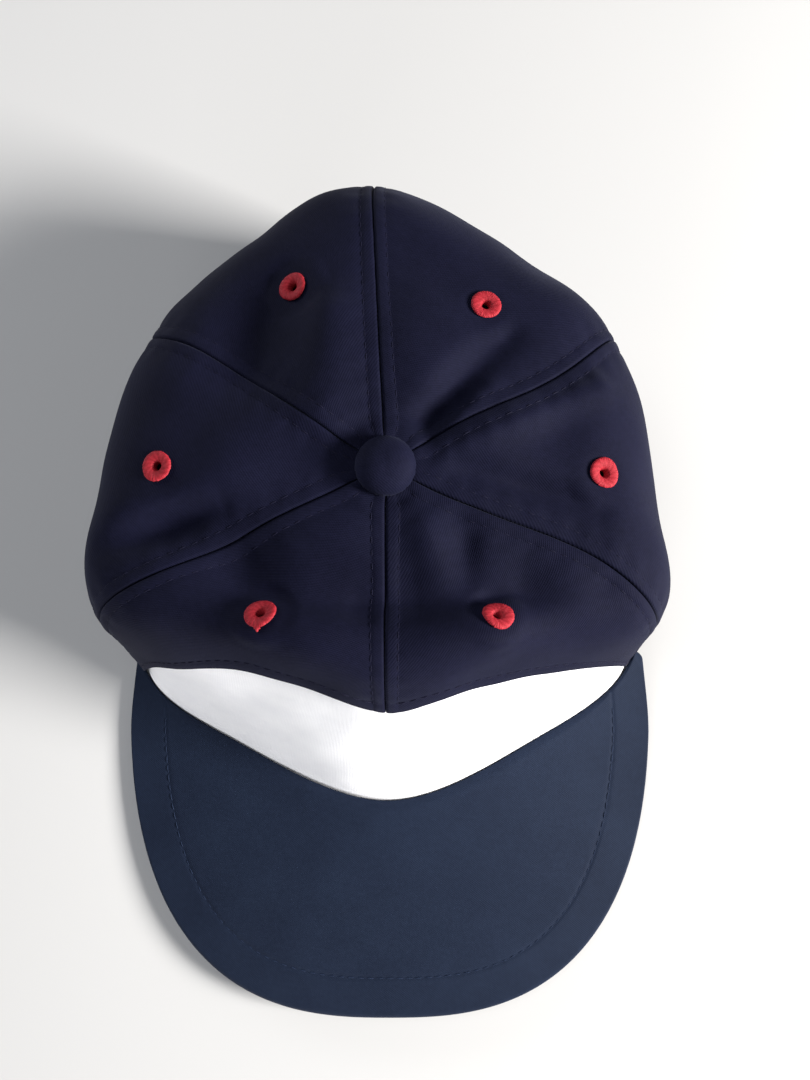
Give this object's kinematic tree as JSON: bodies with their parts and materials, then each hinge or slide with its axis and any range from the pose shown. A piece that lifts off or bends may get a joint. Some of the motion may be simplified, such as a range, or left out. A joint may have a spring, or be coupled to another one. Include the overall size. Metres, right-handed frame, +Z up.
{
  "type": "six-panel cap with a peak",
  "caption": "Soft cloth cap of sewn panels with a covered top button, embroidered eyelets, a white half-moon front band and a curved stiff peak; worn on the head, shown lying on its rim",
  "frame": {"origin": "Under the middle of the whole cap, peak included, on the surface that it lies on", "axes": "+Y from the peak to the back, +Z up from the rim to the button, +X to the right as seen from above with the peak at the bottom"},
  "size_m": [0.1808, 0.2652, 0.0945],
  "materials": {
    "navy_cloth": "matte dark navy cotton twill",
    "peak_cloth": "matte navy cotton twill over a stiff board",
    "white_cloth": "matte plain white cotton",
    "red_thread": "slightly glossy red embroidery thread"
  },
  "bodies": {
    "root": {"crown_panel_front_right": "navy_cloth", "crown_panel_side_right": "navy_cloth", "crown_panel_back_right": "navy_cloth", "crown_panel_back_left": "navy_cloth", "crown_panel_side_left": "navy_cloth", "crown_panel_front_left": "navy_cloth", "button": "navy_cloth", "peak": "peak_cloth", "front_band": "white_cloth", "eyelet_front_right": "red_thread", "eyelet_right": "red_thread", "eyelet_back_right": "red_thread", "eyelet_back_left": "red_thread", "eyelet_left": "red_thread", "eyelet_front_left": "red_thread"}
  },
  "joints": []
}
